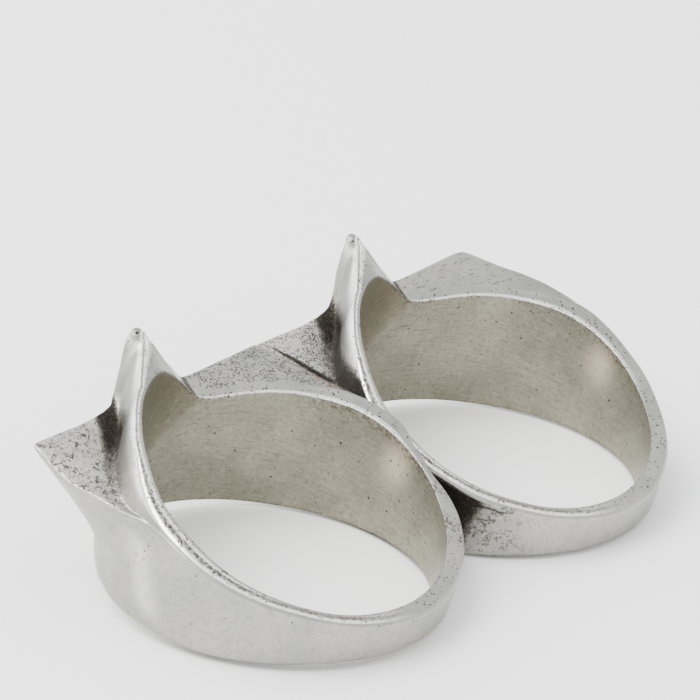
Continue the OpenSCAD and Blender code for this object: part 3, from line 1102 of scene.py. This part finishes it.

# %% [markdown]
# ### Layers of colour
#
# The colour is painted in layers: a base tone, scuffs and speckles, painted reflections, painted
# shade, bright edges that are partly polish and partly painted highlight, and the darkening last,
# which also holds painted shade in the gaps between the rings. A row holds a colour and the shares
# that its strength is multiplied from.

# %% Tables of layers
OUTSIDE_BASE = "#a7a69e"
OUTSIDE = [
    ("#9b9b95", ("cloud", 0.35, 0.65)),
    # Painted highlight: a bright strip down the left ring's shoulder
    ("#d2d1c9", 0.8, "rubbed"),
]
INSIDE_BASE = "#959281"
INSIDE = [
    ("#8a8777", ("cloud", 0.4, 0.62)),
    # Scratches round the hole, dark and light, then specks
    ("#635d4c", ("round_scratches", 0.47, 0.3, 0.0, 0.8)),
    ("#bbb7a6", ("round_scratches", 0.55, 0.7, 0.0, 0.5)),
    ("#686150", ("grain", 0.56, 0.68, 0.0, 0.45)),
    # Painted shade deep under the point, and a brown stain along the lower edge
    ("#655b49", 0.5, "deep"),
    ("#4b3f30", 0.7, "low_lip", ("grain", 0.4, 0.55)),
    # Painted reflection: a soft bright patch in each hole
    ("#e3d2bb", 1.0, "rubbed"),
]
EVERYWHERE = [
    # Scuffs of hand rubbing, dark and light
    ("#67645d", ("mottle", 0.5, 0.66, 0.0, 0.28)),
    ("#cfcec8", ("mottle", 0.46, 0.3, 0.0, 0.22)),
    ("#75736d", 0.35, "wall", ("upright_scratches", 0.42, 0.3)),
    ("#5d5a53", ("fine", 0.6, 0.72, 0.0, 0.5)),
    ("#55524d", 0.85, "scratched", ("slanted_scratches", 0.54, 0.62), ("cluster", 0.38, 0.55)),
    # Painted shade on the points and on the right ring's flank
    ("#7f817d", 0.5, "point"),
    ("#6c6d6a", 0.45, "dull_flank"),
    # The ridges painted bright, partly polish and partly painted highlight, and the left arms
    # brighter
    ("#f6f6f2", "ridge", ("grain", 0.64, 0.52, 0.5, 1.0)),
    ("#d2d0ca", 0.65, "left_arm"),
    # What keeps the darkening: pits, scribbles, dots, the groove and the holes' lips
    ("#2b2824", 0.85, "pits"),
    ("#383531", 0.9, "marks"),
    ("#35322d", 0.9, "dots"),
    ("#403b35", 0.85, "groove", ("grain", 0.44, 0.58)),
    ("#54432f", 0.8, "lip", ("grain", 0.44, 0.56)),
    ("#4b3f33", 0.8, "worn", ("grain", 0.49, 0.58), ("cluster", 0.43, 0.55)),
    ("#7a5a42", 0.7, "copper", ("grain", 0.4, 0.55)),
    # The dark hollows and the painted shade of the gaps: a grey-brown border round the darkest part
    ("#656059", ("reach", 0.1, 0.55, 0.0, 0.85)),
    ("#27231e", ("reach", 0.4, 1.05, 0.0, 0.96)),
]
ROUGHNESS = [(0.3,), (0.1, "cloud"), (0.05, "inside"), (0.08, "scribble"), (-0.1, "ridge"),
             (0.25, ("reach", 0.12, 0.75))]
HEIGHT = [(0.3, "grain"), (-1.0, "pits"), (-1.4, "marks"), (-0.7, "dots"),
          (-0.3, "inside", ("round_scratches", 0.44, 0.3))]
print(len(OUTSIDE) + len(INSIDE) + len(EVERYWHERE), "layers of colour")


# %% Antiqued silver
RELIEF_DEPTH = 0.04 * MM
RELIEF_STRENGTH = 0.6


def antiqued_silver(tree, found):
    # Satin silver: the sheen of a cloth-rubbed metal, never a mirror, dull in the dark hollows
    outer = painted(tree, found, linear(OUTSIDE_BASE), OUTSIDE)
    inner = painted(tree, found, linear(INSIDE_BASE), INSIDE)
    colour = add(tree, "Mix", {0: found["inside"], 6: outer, 7: inner}, output=2, data_type="RGBA")
    colour = painted(tree, found, colour, EVERYWHERE)
    bump = add(tree, "Bump", {"Height": total(tree, found, HEIGHT), "Strength": RELIEF_STRENGTH,
                              "Distance": RELIEF_DEPTH})
    shader = add(tree, "BsdfPrincipled", {"Base Color": colour, "Metallic": 1.0, "Normal": bump,
                                          "Roughness": total(tree, found, ROUGHNESS)})
    add(tree, "OutputMaterial", {"Surface": shader})


antiqued_silver(silver.node_tree, patterns)
body.data.materials.append(silver)
print(silver.name, "has", len(silver.node_tree.nodes), "nodes")

# %% [markdown]
# ## The studio
#
# A pale floor, a wide white surrounding and two soft lamps: small metal
# things are photographed in a light tent, so that the polished curves mirror
# white cloth and only the hollows go dark. A real tent could be modelled round
# the piece, but an evenly bright world mirrors the same and is never in the
# camera's way.


# %% Floor and surrounding
FLOOR_HALF = 3.0  # metres
TENT_BRIGHTNESS = 2.1


def white_paper():
    # Matt white paper: no sheen, the floor only takes the soft shadow
    paper = bpy.data.materials.new("white_paper")
    tree = emptied(paper)
    shader = add(tree, "BsdfPrincipled", {"Base Color": linear("#fbfbfa"), "Roughness": 0.9})
    add(tree, "OutputMaterial", {"Surface": shader})
    return paper


def floor_of_paper():
    """A square floor round the origin."""
    shape = bmesh.new()
    bmesh.ops.create_grid(shape, x_segments=1, y_segments=1, size=FLOOR_HALF)
    floor = finished("floor", shape)
    floor.data.materials.append(white_paper())
    return floor


def light_tent():
    """Evenly bright white cloth all round, a little cool."""
    world = bpy.data.worlds.new("light_tent")
    tree = emptied(world)
    cloth = add(tree, "Background", {"Color": linear("#f4f5f7"), "Strength": TENT_BRIGHTNESS})
    add(tree, "OutputWorld", {"Surface": cloth})
    return world


floor = floor_of_paper()
bpy.context.scene.world = light_tent()
print("the floor is", 2 * FLOOR_HALF, "m wide, the tent's brightness is", TENT_BRIGHTNESS)


# %% Lamps
LIT_POINT = Vector((0, 0, 0.005))


def lamp(name, at, size, watts):
    """A square lamp of white light that shines at the rings' middle."""
    light = bpy.data.lights.new(name, "AREA")
    light.size = size
    light.energy = watts
    thing = placed(name, light)
    thing.location = at
    thing.rotation_mode = "QUATERNION"
    thing.rotation_quaternion = (LIT_POINT - Vector(at)).to_track_quat("-Z", "Y")
    return thing


lamps = [lamp("key_softbox", (-0.30, 0.17, 0.49), 0.45, 6.0),
         lamp("front_strip", (-0.04, 0.44, 0.20), 0.18, 1.1)]
print("lamps:", ", ".join(light.name for light in lamps))

# %% [markdown]
# ## The camera
#
# It stands behind the rings, at the palm side, and looks down along the row
# at a long focal length, so the two rings look equally large. Its directions
# to the right and up are given in the left ring's own frame (along the row,
# out to the front, up the finger) and leaned with the piece.

# %% Camera
CAMERA_RIGHT = Vector((0.601, -0.753, 0.268))
CAMERA_UP = Vector((0.281, 0.513, 0.811))
# In mm from the left ring's middle, in the camera's own directions
SHIFT_RIGHT, SHIFT_UP, DISTANCE = 4.11, 10.32, 378.9
# Focal length and width of the picture in pixels, and the sensor's width in mm
FOCAL_PIXELS, PICTURE_PIXELS, SENSOR = 6676, 700, 36
NEAREST, FARTHEST = 0.01, 20  # metres
camera_right = CAMERA_RIGHT.normalized()
camera_back = camera_right.cross(CAMERA_UP).normalized()
camera_up = camera_back.cross(camera_right)
eye = camera_right * SHIFT_RIGHT + camera_up * SHIFT_UP + camera_back * DISTANCE
ring_turn = PLACES[0].to_3x3().normalized().to_4x4()
camera_turn = ring_turn @ Matrix((camera_right, camera_up, camera_back)).transposed().to_4x4()
camera_data = bpy.data.cameras.new("camera")
camera_data.lens = FOCAL_PIXELS / PICTURE_PIXELS * SENSOR
camera_data.sensor_width = SENSOR
camera_data.clip_start = NEAREST
camera_data.clip_end = FARTHEST
camera = placed("camera", camera_data)
camera.matrix_world = Matrix.Translation(PLACES[0] @ eye) @ camera_turn
bpy.context.scene.camera = camera
sight = camera.matrix_world.to_3x3() @ Vector((0, 0, 1))
print("camera", round(math.degrees(math.asin(sight.z)), 1), "degrees above the floor")
